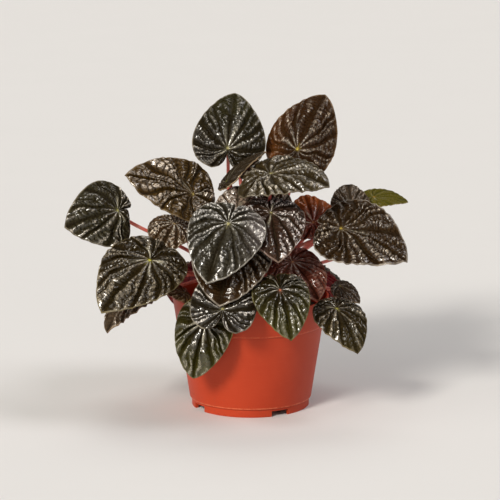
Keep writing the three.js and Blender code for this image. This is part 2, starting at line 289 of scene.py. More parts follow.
# The leaf blade, in shares of its length from the petiole's junction to the tip where nothing else is said
blade = {
    "thickness": 0.9 * mm,
    "wave": 0.020,          # height of the slow waves of the whole blade
    "stray": 2.6,           # degrees that the veins of a leaf stray from their usual angles
    "crestStray": 0.22,     # share of its width that a ridge's crest strays
    "archRise": 0.07,
    "ridgeHeight": 0.085,
    "reliefPlaces": [0, 0.26, 0.5, 0.76, 1],
    "relief": [0, 0.5, 1, 0.95, 0.42],
    "marginAngles": [0, 12, 26, 45, 66, 90, 112, 132, 150, 164, 172, 178, 180],
    "openRadii": [1, 0.9, 0.78, 0.68, 0.615, 0.57, 0.53, 0.46, 0.38, 0.28, 0.18, 0.11, 0.09],
    "closedRadii": [1, 0.9, 0.78, 0.68, 0.615, 0.57, 0.53, 0.465, 0.41, 0.385, 0.365, 0.32, 0.09],
    "openEdge": 172,        # degrees at which the lobes end, with the notch between them open or closed
    "closedEdge": 178,
    "lobeSwell": (70, 130),  # degrees between which a lobe takes on its own size
    "veinAngles": [0, 23, 48, 76, 106, 139],
    "ridgeAngles": [11.5, 35.5, 62, 91, 122.5, 157],
    "columnWidth": 0.80,    # millimetres between columns at the margin
    "ringWidth": 0.85,      # millimetres between rings along the midrib
    "underRings": 12,
    "rimBulge": 0.35,       # share of its thickness that the rounded margin stands out
    "split": 0.3,           # share of the blade's length in which a ridge parts in two
    "twinFill": 0.30,       # how full the dip between the two stays
    "puff": 2.7,            # millimetres from one puffed cell of a ridge to the next
    "furrowDepth": 0.42,    # share of the ridge that the furrow between two cells cuts away
    "furrowLean": 2.6,      # millimetres that a furrow runs ahead from the vein to the crest
    "wander": 0.9,          # millimetres that furrows stray
    "lump": 0.22,           # share by which a ridge swells and shrinks along its way
    "trough": 0.022,        # depth of the hollow along the midrib of a large leaf
    "troughWidth": 0.045,
    "underRelief": 0.664,   # share of the ridges' height that shows on the smoother underside
}

# Each kind of leaf: its slot name (slot), its colours in the valleys (deep), darker there partly by their own
# colour and partly as painted shade in the hollows, and on the ridges (flesh), the silver on the crests,
# partly the leaf's own sheen and partly a painted highlight, the margin (rim), partly a painted highlight
# along the edge, the blush and the spot over the petiole, then how far the silver covers the crests, how much
# it breaks into patches, and the crests' gloss
usualTone = dict(blush=(0.200, 0.064, 0.012), silverGlintCover=1.0, patches=0.5, gloss=1.0)
tones = {
    "grey": dict(
        slot="leaf_grey", deep=(0.006, 0.00374, 0.00096), flesh=(0.0441, 0.0377, 0.0167),
        silverAndGlint=(0.80, 0.72, 0.60), rim=(0.1836, 0.1564, 0.1088), blush=(0.075, 0.042, 0.020),
        spot=(0.44, 0.42, 0.13), silverGlintCover=0.8,
    ),
    "olive": dict(
        slot="leaf_olive", deep=(0.0075, 0.00396, 0.00054), flesh=(0.0275, 0.017, 0.00287),
        silverAndGlint=(0.80, 0.68, 0.50), rim=(0.17, 0.136, 0.068), blush=(0.075, 0.060, 0.012),
        spot=(0.50, 0.46, 0.04), silverGlintCover=0.42, gloss=0.9,
    ),
    # the slate blush, pale violet-grey, is a painted reflection of light on one side of the leaf
    "slate": dict(
        slot="leaf_grey", deep=(0.0063, 0.00407, 0.0012), flesh=(0.0433, 0.0391, 0.0265),
        silverAndGlint=(0.96, 0.93, 0.87), rim=(0.32, 0.30, 0.26), blush=(0.17, 0.145, 0.14),
        spot=(0.50, 0.46, 0.20),
    ),
    "coal": dict(
        slot="leaf_grey", deep=(0.0051, 0.00308, 0.0009), flesh=(0.0144, 0.00977, 0.00277),
        silverAndGlint=(0.85, 0.78, 0.66), rim=(0.22, 0.19, 0.13), blush=(0.040, 0.042, 0.010),
        spot=(0.42, 0.38, 0.15), silverGlintCover=0.34, patches=0.6, gloss=0.7,
    ),
    "jet": dict(
        slot="leaf_grey", deep=(0.0051, 0.00308, 0.0009), flesh=(0.0144, 0.0104, 0.0042),
        silverAndGlint=(1.0, 0.94, 0.86), rim=(0.26, 0.23, 0.17), blush=(0.040, 0.042, 0.010),
        spot=(0.42, 0.38, 0.15), silverGlintCover=0.9,
    ),
    "ash": dict(
        slot="leaf_olive", deep=(0.0102, 0.0055, 0.00132), flesh=(0.0502, 0.0355, 0.0123),
        silverAndGlint=(0.90, 0.82, 0.68), rim=(0.144, 0.12, 0.08), blush=(0.075, 0.060, 0.020),
        spot=(0.36, 0.32, 0.12), silverGlintCover=0.58,
    ),
    "golden": dict(
        slot="leaf_olive", deep=(0.012, 0.00484, 0.0006), flesh=(0.0892, 0.0488, 0.00907),
        silverAndGlint=(1.0, 0.88, 0.74), rim=(0.1768, 0.1224, 0.0612), blush=(0.13, 0.07, 0.015),
        spot=(0.46, 0.36, 0.10), silverGlintCover=0.58,
    ),
    # amber is partly its own golden brown, partly painted light on leaves that lie in shadow
    "amber": dict(
        slot="leaf_brown", deep=(0.016, 0.007, 0.0025), flesh=(0.132, 0.0722, 0.0299),
        silverAndGlint=(1.0, 0.88, 0.70), rim=(0.221, 0.153, 0.085), spot=(0.58, 0.40, 0.12),
    ),
    "fern": dict(
        slot="leaf_olive", deep=(0.0054, 0.00352, 0.00042), flesh=(0.0143, 0.00894, 0.000725),
        silverAndGlint=(0.95, 0.88, 0.72), rim=(0.1728, 0.1536, 0.0576), blush=(0.058, 0.055, 0.007),
        spot=(0.64, 0.22, 0.12), silverGlintCover=0.3, patches=0.9,
    ),
    "brown": dict(
        slot="leaf_brown", deep=(0.0102, 0.00385, 0.00072), flesh=(0.0392, 0.0182, 0.00425),
        silverAndGlint=(0.85, 0.72, 0.56), rim=(0.30, 0.26, 0.21), spot=(0.50, 0.37, 0.06), silverGlintCover=0.46, gloss=0.8,
    ),
    "russet": dict(
        slot="leaf_brown", deep=(0.0138, 0.00418, 0.00066), flesh=(0.0331, 0.0122, 0.00232),
        silverAndGlint=(0.84, 0.70, 0.54), rim=(0.19, 0.11, 0.05), blush=(0.210, 0.068, 0.012),
        spot=(0.54, 0.42, 0.04), silverGlintCover=0.4, patches=0.7, gloss=0.42,
    ),
    "purple": dict(
        slot="leaf_purple", deep=(0.0075, 0.00308, 0.0012), flesh=(0.0595, 0.0296, 0.0186),
        silverAndGlint=(1.0, 0.90, 0.85), rim=(0.238, 0.1615, 0.1275), blush=(0.10, 0.04, 0.03),
        spot=(0.42, 0.38, 0.16),
    ),
    # pearl is the purple leaf made much brighter: painted light on a leaf that lies in shadow
    "pearl": dict(
        slot="leaf_purple", deep=(0.012, 0.0072, 0.0048), flesh=(0.448, 0.332, 0.244),
        silverAndGlint=(1.0, 0.94, 0.87), rim=(0.30, 0.22, 0.16), blush=(0.10, 0.04, 0.03), spot=(0.42, 0.38, 0.16),
        patches=0.1, gloss=1.2,
    ),
    "bark": dict(
        slot="leaf_brown", deep=(0.020, 0.013, 0.008), flesh=(0.1, 0.0656, 0.0384),
        silverAndGlint=(0.75, 0.62, 0.48), rim=(0.24, 0.17, 0.10), spot=(0.46, 0.38, 0.12), silverGlintCover=0.5, gloss=0.6,
    ),
    "dusk": dict(
        slot="leaf_brown", deep=(0.007, 0.004, 0.002), flesh=(0.030, 0.019, 0.009),
        silverAndGlint=(0.30, 0.22, 0.14), rim=(0.34, 0.25, 0.15), spot=(0.40, 0.42, 0.08), silverGlintCover=0.2, gloss=0.35,
    ),
    "wine": dict(
        slot="leaf_wine", deep=(0.027, 0.003, 0.00144), flesh=(0.234, 0.0299, 0.0115),
        silverAndGlint=(0.42, 0.20, 0.14), rim=(0.32, 0.10, 0.05), blush=(0.62, 0.150, 0.014),
        spot=(0.42, 0.18, 0.06), silverGlintCover=0.2, gloss=0.45,
    ),
    "maroon": dict(
        slot="leaf_wine", deep=(0.030, 0.0035, 0.0014), flesh=(0.165, 0.043, 0.026),
        silverAndGlint=(0.58, 0.40, 0.33), rim=(0.32, 0.13, 0.08), blush=(0.30, 0.018, 0.006),
        spot=(0.42, 0.18, 0.06), silverGlintCover=0.35, patches=0.4, gloss=0.55,
    ),
    # ember's bright flesh is partly painted light on a leaf that lies in deep shade
    "ember": dict(
        slot="leaf_brown", deep=(0.020, 0.008, 0.003), flesh=(0.240, 0.130, 0.045),
        silverAndGlint=(0.90, 0.75, 0.50), rim=(0.30, 0.12, 0.08), blush=(0.50, 0.012, 0.022),
        spot=(0.50, 0.37, 0.06), silverGlintCover=0.9, patches=0.4, gloss=0.8,
    ),
    "young": dict(
        slot="leaf_young", deep=(0.045, 0.046, 0.004), flesh=(0.125, 0.105, 0.011),
        silverAndGlint=(0.20, 0.17, 0.03), rim=(0.24, 0.20, 0.05), blush=(0.14, 0.07, 0.015),
        spot=(0.55, 0.30, 0.06), silverGlintCover=0.0, gloss=0.10,
    ),
}
tones = {name: {**usualTone, **own} for name, own in tones.items()}

leafFinish = {
    "underside": (0.170, 0.010, 0.018),
    "underVein": (0.42, 0.10, 0.085),
    "underShade": (0.06, 0.012, 0.010),
    "vein": (0.17, 0.15, 0.08),
    "ray": (0.60, 0.56, 0.42),          # pale streaks on ridges near the junction: own pale colour and painted glint
    "valleyRoughness": 0.55,
    "crestRoughness": 0.38,
    "furrowShade": 0.85, "speckShade": 0.6, "veinShade": 0.18,
    "mottleScale": 5.0, "warpScale": 15.0, "pebbleScale": 42.0, "grainScale": 52.0, "speckScale": 72.0,
    "bump": 0.8, "bumpHeight": 0.8 * mm,
}

# Each leaf, by the name of its CAD node after leaf_: its junction and tip in millimetres, the way its
# upper face looks, its width over its length, how far its sides fall and its tone. Where a leaf needs it:
# its petiole's bend in millimetres, the size of its two lobes, an open notch, the degrees that its veins
# bend forward and sway on the way, the depth of its midrib hollow (trough), the height of its ridges,
# their wrinkles (ripple) and the length of the cells between them (puffs), how narrow the silver runs
# (line), how far it parts into beads, its pale rays, and in degrees from the tip a smooth zone (towards,
# spread) and a blush (towards, spread, amount). What a leaf leaves out is as in usualLeaf.
usualLeaf = dict(
    wide=1, fall=0.3, bend=(0, 0, 0), lobes=(1, 1), open=False, veins=25, sway=9, trough=0.3, ridges=1,
    ripple=0.7, puffs=1, line=7, beads=0.6, rays=1, smooth=(180, 1), blush=(0, 60, 0),
)
leaves = {
    "top_left": dict(
        at=(-16, 25, 178), tip=(-11, 50, 214), face=(0, -0.8, 0.6), wide=1.02, tone="coal", bend=(-8, 8, 0),
        lobes=(0.88, 0.88), open=True, ripple=1.1, blush=(0, 40, 0.5), beads=0.7, line=5, ridges=0.7,
    ),
    "top_right": dict(
        at=(33, 28, 177), tip=(53, 49, 213), face=(-0.2, -0.8, 0.6), wide=0.95, tone="russet",
        bend=(0, 12, 0), ripple=1.2, rays=0.35, blush=(115, 60, 0.8), beads=0.85, line=5, ridges=0.7,
        sway=20,
    ),
    "left_upper": dict(
        at=(-39.5, -14, 152.5), tip=(-86, -28, 168), face=(-0.1, -0.75, 0.65), wide=0.81, fall=-0.06,
        tone="golden", veins=-30, beads=0.9, line=2.5, puffs=1.3, ridges=0.85, ripple=1.0, sway=16,
    ),
    "far_left": dict(
        at=(-92, -8, 140), tip=(-128, -22, 131), face=(-0.3, -1, 0.3), wide=1.1, fall=0.25, tone="grey",
        lobes=(0.5, 0.78), ripple=0.95, line=5, sway=16,
    ),
    "left_big": dict(
        at=(-69, -38, 111), tip=(-101, -62, 79), face=(-0.35, -0.85, 0.4), wide=0.97, fall=0.15,
        tone="olive", ripple=0.95, trough=1.0, ridges=0.8, sway=16,
    ),
    "left_lower": dict(
        at=(-78, -16, 82), tip=(-99, -38, 60), face=(-0.5, -0.3, 0.8), wide=0.85, tone="bark",
        bend=(0, 0, 16), lobes=(0.7, 0.7),
    ),
    "left_inner": dict(
        at=(-53, -4, 130), tip=(-62, -27, 113), face=(-0.15, -0.8, 0.45), tone="amber", beads=1, line=1.6,
        ripple=1.0,
    ),
    "front_upper": dict(
        at=(-15, -50, 139), tip=(-29, -73, 102), face=(-0.1, -0.8, 0.5), tone="slate", bend=(-4, 12, 28),
        # its blush is a painted reflection of light on that side
        ripple=0.75, trough=1.0, beads=0.9, line=3.2, puffs=1.4, blush=(95, 45, 0.8),
    ),
    "front_lower": dict(
        at=(-12, -40, 119), tip=(-21, -68, 85), face=(-0.1, -0.8, 0.6), wide=1.05, tone="brown", ripple=0.8,
        ridges=0.8, beads=0.8, line=9,
    ),
    "heart_right": dict(
        at=(14, -26, 142), tip=(19, -59, 114), face=(0.1, -0.7, 0.7), wide=0.92, tone="purple",
        bend=(0, 8, 0), lobes=(1.12, 1.12), beads=1, line=1.6, puffs=1.1, sway=18,
    ),
    "red_right": dict(
        at=(29, -20, 106), tip=(47, -39, 83), face=(0.3, -0.7, 0.6), wide=1.05, tone="maroon",
        blush=(180, 75, 0.9),
    ),
    "red_back": dict(
        at=(44, 4, 129), tip=(38, 30, 143), face=(0, -0.8, 0.6), wide=1.1, tone="wine", ripple=0.6,
        blush=(0, 70, 0.9),
    ),
    "right_big": dict(
        at=(62, -22, 130), tip=(107, -45, 111), face=(0.15, -0.75, 0.7), wide=0.92, fall=0, tone="brown",
        bend=(0, 14, 16), lobes=(1, 0.78), veins=-22, rays=0.3, puffs=1.05, beads=0.9, line=3, ripple=1.2,
        sway=22,
    ),
    "right_small": dict(
        at=(71, 26, 136), tip=(70, 51, 148), face=(0, -0.7, 0.7), wide=0.88, tone="bark", ripple=0.6,
    ),
    "young_right": dict(
        at=(88, 44, 140), tip=(113, 50, 135.5), face=(0.1, -0.5, 0.9), wide=0.66, fall=0.2, tone="young",
        ripple=0.2, ridges=0.6,
    ),
    "rim_right": dict(
        at=(20, -60, 95), tip=(27.5, -81, 65), face=(0.1, -0.8, 0.5), wide=0.9, tone="fern", bend=(6, 0, 6),
        ripple=0.5, blush=(0, 75, 0.9), rays=1.5, beads=0.5, line=9,
    ),
    "low_right": dict(
        at=(59, -42, 78), tip=(73, -62, 51), face=(0.4, -0.7, 0.5), wide=0.93, tone="olive", bend=(0, 0, 16),
        lobes=(0.8, 0.8), ripple=0.8, blush=(0, 60, 0.35), line=8, ridges=0.8,
    ),
    "curled_right": dict(
        at=(63, 8, 83), tip=(77, 2, 72), face=(0.3, -0.5, 0.8), wide=0.95, fall=0.4, tone="bark",
        bend=(0, 0, 8), lobes=(0.7, 0.7), ripple=1.1,
    ),
    "rim_centre": dict(
        at=(-19, -67, 83), tip=(-13, -33, 109), face=(0, -0.7, 0.7), wide=0.9, tone="jet", bend=(4, 0, 16),
        open=True, ripple=0.45, beads=0.5, line=18, ridges=0.6,
    ),
    "low_left": dict(
        at=(-31, -58, 72), tip=(-39.5, -57, 32), face=(-0.2, -0.9, 0.1), wide=0.84, tone="fern",
        bend=(-1, -2, 32), ripple=0.3, blush=(0, 110, 0.9), rays=1.7, beads=0.1, line=8,
    ),
    "rim_left": dict(
        at=(-46, -38, 88), tip=(-61, -45, 91), face=(-0.2, -0.5, 0.8), tone="ember", bend=(0, 0, -1),
        blush=(-95, 45, 1),
    ),
    "inner_wine": dict(at=(2, -22, 95), tip=(4, -37, 107), face=(0, 0.7, 0.7), wide=0.6, tone="wine"),
    "crest_right": dict(
        at=(14, -14, 167), tip=(54, -30, 161), face=(0, -0.4, 0.9), fall=0.2, tone="ash", bend=(-2, -3, 0),
        lobes=(1.52, 1.25), rays=0.3, smooth=(180, 75), line=2.5, beads=0.8, sway=20,
    ),
    "crest_left": dict(
        at=(-17, 6, 158), tip=(11, 12, 178), face=(-0.6, -0.15, 0.75), wide=0.6, fall=0.2, tone="dusk",
        lobes=(0.6, 0.6), ripple=0.15, ridges=0.45,
    ),
    "crest_under": dict(
        at=(19, 10, 140), tip=(6, 20, 158), face=(0, -0.8, 0.6), wide=0.8, fall=0.2, tone="amber",
        ripple=1.2, line=2,
    ),
    "heart_left": dict(
        at=(-9, -15, 140), tip=(-9, 5, 154.5), face=(0, -0.6, 0.78), wide=1.2, tone="pearl",
        lobes=(1.15, 1.15), ripple=1.1, beads=1, line=1.6, puffs=1.3,
    ),
    "back_left": dict(at=(-42, 50, 123), tip=(-62, 85, 106), face=(-0.35, 0.5, 0.8), tone="olive"),
    "back_centre": dict(at=(-18, 62, 128), tip=(-24, 98, 106), face=(0, 0.6, 0.8), wide=1.05, tone="grey"),
    "back_right": dict(
        at=(32, 58, 118), tip=(52, 94, 98), face=(0.2, 0.6, 0.8), tone="brown", blush=(-100, 50, 0.5),
    ),
    "back_upper": dict(at=(-10, 54, 174), tip=(-16, 88, 168), face=(-0.2, 0.4, 0.9), tone="olive"),
    "back_high": dict(at=(26, 58, 158), tip=(48, 86, 146), face=(0.2, 0.5, 0.85), tone="purple", open=True),
    "back_low_left": dict(
        at=(-41, 59, 84), tip=(-50, 77, 51), face=(-0.5, 0.8, 0.4), tone="brown", bend=(0, 0, 20),
    ),
    "back_low": dict(
        at=(-1, 70, 90), tip=(2, 86, 54), face=(0, 0.9, 0.4), tone="fern", bend=(0, 0, 18),
        blush=(0, 60, 0.6),
    ),
    "back_low_right": dict(
        at=(44, 56, 86), tip=(63, 73, 54), face=(0.6, 0.6, 0.5), tone="grey", bend=(0, 0, 16),
    ),
    "right_back": dict(
        at=(76, 32, 108), tip=(101, 50, 92), face=(0.6, 0.1, 0.8), wide=0.95, tone="olive", open=True,
    ),
    "back_mid": dict(
        at=(-48, 54, 150), tip=(-74, 72, 140), face=(-0.4, 0.2, 0.9), tone="brown", blush=(90, 60, 0.5),
    ),
    "left_back": dict(
        at=(-72, 22, 92), tip=(-106, 34, 76), face=(-0.5, 0.1, 0.85), tone="grey", bend=(0, 0, 10),
        ripple=0.8,
    ),
}
leaves = {name: {**usualLeaf, **own} for name, own in leaves.items()}


# The leaf's own directions: along to the tip, up out of its upper face, and across
def leafAxes(leaf):
    root = np.array(leaf["at"], float) * mm
    reach = np.array(leaf["tip"], float) * mm - root
    length = np.linalg.norm(reach)
    along = reach / length
    up = np.array(leaf["face"], float)
    up = unit(up - along * up.dot(along))
    return root, length, along, up, np.cross(up, along)


# How far the margin lies from the junction at each angle, with each lobe at its own size
def marginReach(angles, leaf):
    away = np.abs(angles)
    radii = blade["openRadii"] if leaf["open"] else blade["closedRadii"]
    first, second = leaf["lobes"]
    lobe = np.where(angles > 0, first, second)
    swell = 1 + (lobe - 1) * smoothStep(*blade["lobeSwell"], away)
    return smoothLine(blade["marginAngles"], radii, away) * swell


# Columns of the blade round the junction: the angle of each, how far it lies from its ridge's crest
# (0 on the crest, -1 or 1 on a vein) and the ridge that it belongs to
def bladeColumns(leaf, length):
    edge = blade["openEdge"] if leaf["open"] else blade["closedEdge"]
    keys = sorted([(a, 1) for a in blade["veinAngles"] + [edge]] + [(a, 0) for a in blade["ridgeAngles"]])
    angles, offsets, ridges = [], [], []
    for index in range(len(keys) - 1):
        (low, lowVein), (high, _) = keys[index], keys[index + 1]
        radii = marginReach(np.array([low, high], float), leaf)
        spread = math.radians(high - low)
        arc = math.hypot(radii[1] - radii[0], spread * radii.mean()) * length / mm
        steps = max(2, round(arc / blade["columnWidth"]))
        for step in range(steps):
            share = step / steps
            angles.append(low + (high - low) * share)
            offsets.append(-1 + share if lowVein else share)
            ridges.append(index // 2)
    for angle in (edge, (edge + 180) / 2):
        angles.append(angle)
        offsets.append(1)
        ridges.append(len(keys) // 2 - 1)
    angles = np.array(angles)
    offsets = np.array(offsets, float)
    ridges = np.array(ridges)
    mirrored = slice(None, 0, -1)
    return (
        np.concatenate([angles, [180], -angles[mirrored]]),
        np.concatenate([offsets, [1], offsets[mirrored]]),
        np.concatenate([ridges, [0], ridges[mirrored] + 20]),
    )


# Slow waves over the blade, from -1 to 1, that keep its puckers from lining up
def drift(x, y, draw, first):
    total = 0
    for k in range(first, first + 4):
        turn = draw["phase"][k] * 3
        way = x * np.cos(turn) + y * np.sin(turn)
        total = total + np.sin(draw["drift"][k] * way + draw["phase"][k + 8])
    return total / 2.4


# 1 for the angles that point towards a zone, falling to 0 away from it
def zone(angles, towards, spread):
    return np.exp(-((((angles - towards + 180) % 360 - 180) / spread) ** 2))


# Points of the blade's face for every ring and column, in the leaf's directions, as shares of its length
def bladeSurface(place, angles, offsets, ridges, leaf, draw, wrinkled):
    length = leafAxes(leaf)[1]
    stray = sum(draw["stray"][k] * np.sin(np.radians((k + 2) * angles)) for k in range(7))
    angles = angles + blade["stray"] * stray
    turn = np.radians(angles)[None, :]
    fan = turn + math.radians(leaf["veins"]) * (1 - place) * np.sin(turn)
    sway = np.sin(5.5 * place + 2.2 * turn + draw["phase"][60])
    sway = sway + np.sin(8 * place - 3 * turn + draw["phase"][61])
    swing = math.radians(leaf["sway"])
    fan = fan + swing * sway * place * (1 - place) * np.abs(np.sin(turn))
    reach = place * marginReach(angles, leaf)[None, :]
    x = reach * np.cos(fan)
    y = reach * np.sin(fan) * leaf["wide"]
    z = 4 * blade["archRise"] * x * (1 - x) - leaf["fall"] * y * y
    z = z + blade["wave"] * drift(0.4 * x, 0.4 * y, draw, 40) * smoothStep(0.1, 0.5, place)
    along = smoothStep(0.04, 0.3, x) * (1 - smoothStep(0.65, 1, x))
    z = z - leaf["trough"] * blade["trough"] * np.exp(-((y / blade["troughWidth"]) ** 2)) * along

    # each ridge rises between two veins and splits into two smaller ones towards the margin
    offset = offsets[None, :]
    offset = offset + blade["crestStray"] * drift(x, y, draw, 0) * (1 - offset**2)
    away = np.abs(offset)
    aside = np.pi * np.clip(away, 0, 1)
    single = np.cos(0.5 * aside) ** draw["sharp"][ridges]
    twin = np.sin(aside) ** 1.2 + blade["twinFill"] * single**2
    fork = draw["forkAt"][ridges]
    split = draw["fork"][ridges] * smoothStep(fork, fork + blade["split"], place)
    profile = single + (twin - single) * split
    swell = draw["swell"][ridges] * (1 + blade["lump"] * drift(4 * x, 4 * y, draw, 24))
    crest = profile * swell
    shine = np.clip(profile, 0, 1) ** leaf["line"] * smoothStep(0.5, 1.05, swell)
    relief = smoothLine(blade["reliefPlaces"], blade["relief"], np.clip(place, 0, 1))

    # furrows run from the veins out to the crest and part the ridge into puffed cells
    run = reach * length / mm / leaf["puffs"] - blade["furrowLean"] * (1 - away)
    run = run + blade["wander"] * drift(x, y, draw, 12)
    beat = run / (blade["puff"] * draw["pace"][ridges]) + draw["phase"][ridges] + 40 * ridges
    dome = np.abs(np.sin(np.pi * beat)) ** 0.75 * draw["cell"][13 * np.floor(beat).astype(int) % 400]
    ripple = leaf["ripple"] * smoothStep(0.10, 0.28, place) * (1 - 0.85 * smoothStep(0.88, 1, place))
    ripple = ripple * (1 - 0.8 * zone(angles, *leaf["smooth"]))
    height = crest * (1 - blade["furrowDepth"] * ripple * (1 - dome) if wrinkled else blade["underRelief"])
    z = z + blade["ridgeHeight"] * leaf["ridges"] * relief * height
    ray = leaf["rays"] * draw["ray"][ridges] * single**8
    ray = ray * smoothStep(0.03, 0.10, place) * (1 - smoothStep(0.2, 0.5, place))
    looks = {
        "crest": np.clip(crest, 0, 1), "shine": shine, "ray": ray, "beat": beat,
        "ripple": np.clip(ripple, 0, 1) * np.ones_like(x), "beads": leaf["beads"] * np.ones_like(x),
    }
    return x, y, z, looks


def makeLeaf(name, leaf, material, seed):
    rng = np.random.default_rng(seed)
    draw = {
        "phase": rng.uniform(0, 6.28, 64),
        "drift": rng.uniform(6, 26, 64),
        "fork": rng.uniform(0.55, 1, 64),
        "forkAt": rng.uniform(0.26, 0.55, 64),
        "swell": rng.uniform(0.62, 1.2, 64),
        "sharp": rng.uniform(0.5, 1.2, 64),
        "stray": rng.uniform(-1, 1, 7),
        "pace": rng.uniform(0.72, 1.35, 128),
        "cell": rng.uniform(0.40, 1.20, 400),
        "ray": rng.uniform(0, 1, 64) ** 5,
    }
    root, length, along, up, across = leafAxes(leaf)
    thick = up * blade["thickness"]
    angles, offsets, ridges = bladeColumns(leaf, length)
    columns = len(angles)
    rings = max(16, round(length / mm / blade["ringWidth"]))
    underRings = blade["underRings"]
    upperPlaces = np.linspace(0, 1, rings + 1)[1:, None]
    underPlaces = np.linspace(0, 1, underRings + 1)[:0:-1, None]

    def placed(x, y, z):
        flat = x[..., None] * along + y[..., None] * across + z[..., None] * up
        return (root + flat * length).reshape(-1, 3)

    x, y, z, above = bladeSurface(upperPlaces, angles, offsets, ridges, leaf, draw, True)
    upper = placed(x, y, z)
    ux, uy, uz, below = bladeSurface(underPlaces, angles, offsets, ridges, leaf, draw, False)
    under = placed(ux, uy, uz) - thick
    margin = upper[-columns:]
    under[:columns] = margin - thick
    outward = margin - upper[-2 * columns:-columns]
    outward /= np.maximum(np.linalg.norm(outward, axis=1), 1e-9)[:, None]
    rim = margin - thick / 2 + outward * blade["thickness"] * blade["rimBulge"]
    points = np.concatenate([[root], upper, rim, under, [root - thick]])
    faces = bandFaces(1, rings + 1 + underRings, columns) + fanFaces(len(points) - 1, columns)

    # values for the junction, the upper face, the rim, the underside and its middle
    def overAll(first, upperValues, rimValues, underValues, last):
        return np.concatenate([[first], *map(np.ravel, (upperValues, rimValues, underValues)), [last]])

    whole = np.ones(columns)
    aside = np.abs(offsets)
    kept = {
        "place": overAll(0, upperPlaces * whole, whole, underPlaces * whole, 0),
        "offset": overAll(1, np.tile(aside, rings), aside, np.tile(aside, underRings), 1),
        "underside": overAll(0, 0 * x, 0.5 * whole, np.ones_like(ux), 1),
    }
    for key, values in above.items():
        kept[key] = overAll(values[0].mean(), values, values[-1], below[key], below[key][-1].mean())
    towards, spread, amount = leaf["blush"]
    glow = amount * zone(angles, towards, spread) * smoothStep(0.2, 0.9, upperPlaces)
    kept["blush"] = overAll(0, glow, glow[-1], 0 * ux, 0)
    spots = [overAll(0, x, x[-1], ux, 0), overAll(0, y, y[-1], uy, 0), np.full(len(points), seed * 0.731)]
    kept["leafPoint"] = np.stack(spots, axis=1)
    piece = newPiece("blade_" + name, points, faces, kept, material)
    settle(piece, tones[leaf["tone"]]["slot"], "leaf_" + name)


